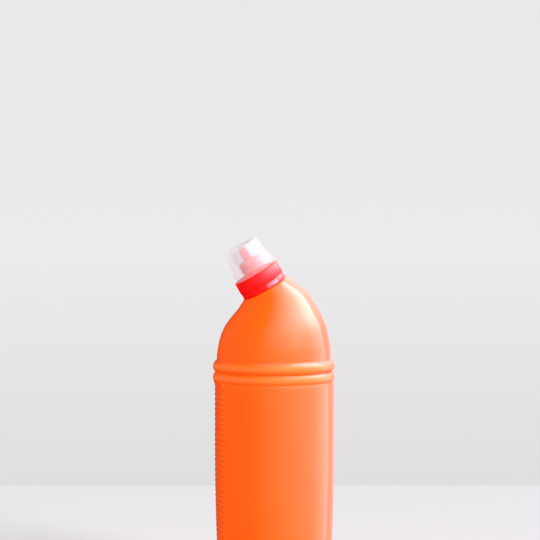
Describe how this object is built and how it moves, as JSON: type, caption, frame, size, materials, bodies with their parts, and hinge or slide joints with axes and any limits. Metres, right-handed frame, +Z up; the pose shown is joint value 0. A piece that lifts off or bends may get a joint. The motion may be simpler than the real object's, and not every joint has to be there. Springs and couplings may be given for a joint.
{
  "type": "bleach bottle",
  "caption": "Round squeeze bottle with a leaning neck, shoulder rings, ribbed grip bands, a jet nozzle and a clear screw overcap that lifts off.",
  "frame": {"origin": "centre of the base, on the surface that the bottle stands on", "axes": "+Z up along the body's axis; the neck leans towards -X, the front; XZ is the plane of the lean"},
  "size_m": [0.085, 0.085, 0.2513],
  "materials": {
    "orange_polyethylene": "blow-moulded, smooth, semi-gloss",
    "red_polypropylene": "injection-moulded, glossy",
    "clear_polypropylene": "injection-moulded, clear with a slight haze"
  },
  "bodies": {
    "bottle_body": {"bottle": "orange_polyethylene", "nozzle_collar": "red_polypropylene"},
    "overcap_body": {"overcap": "clear_polypropylene"}
  },
  "joints": [
    {"name": "cap_lift", "type": "slide", "parent": "bottle_body", "child": "overcap_body", "axis": [-0.5075, 0, 0.8616], "range_m": [0, 0.03]}
  ]
}
